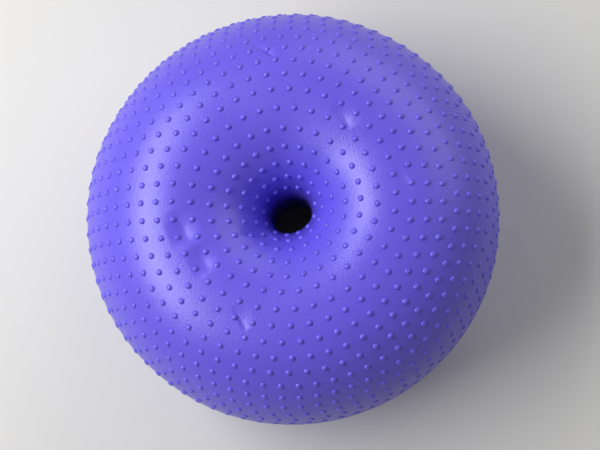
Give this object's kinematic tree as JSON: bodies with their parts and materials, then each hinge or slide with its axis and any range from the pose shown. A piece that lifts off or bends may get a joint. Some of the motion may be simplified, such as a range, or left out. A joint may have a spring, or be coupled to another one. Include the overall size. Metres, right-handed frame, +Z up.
{
  "type": "inflatable massage ring",
  "caption": "Inflatable soft vinyl ring with rounded massage nubs all over, a narrow hole through the middle and an air valve with a pull-out plug.",
  "frame": {"origin": "centre of the ring's footprint, on the floor that it rests on", "axes": "+Z up along the ring's axis, -Y towards the picture's near side"},
  "size_m": [0.5015, 0.5016, 0.2512],
  "materials": {
    "vinyl": "satin soft vinyl with a fine moulded grain",
    "valve_vinyl": "smooth satin soft vinyl",
    "stopper": "smooth translucent white polyethylene"
  },
  "bodies": {
    "ring": {"skin": "vinyl", "valve_seat": "valve_vinyl", "crown_nubs": "vinyl", "upper_shoulder_nubs": "vinyl", "upper_flank_nubs": "vinyl", "lower_flank_nubs": "vinyl", "lower_shoulder_nubs": "vinyl", "base_nubs": "vinyl"},
    "plug": {"valve_plug": "stopper"}
  },
  "joints": [
    {"name": "plug_pull", "type": "slide", "parent": "ring", "child": "plug", "axis": [0.3846, -0.7233, -0.5736], "range_m": [0, 0.03]}
  ]
}
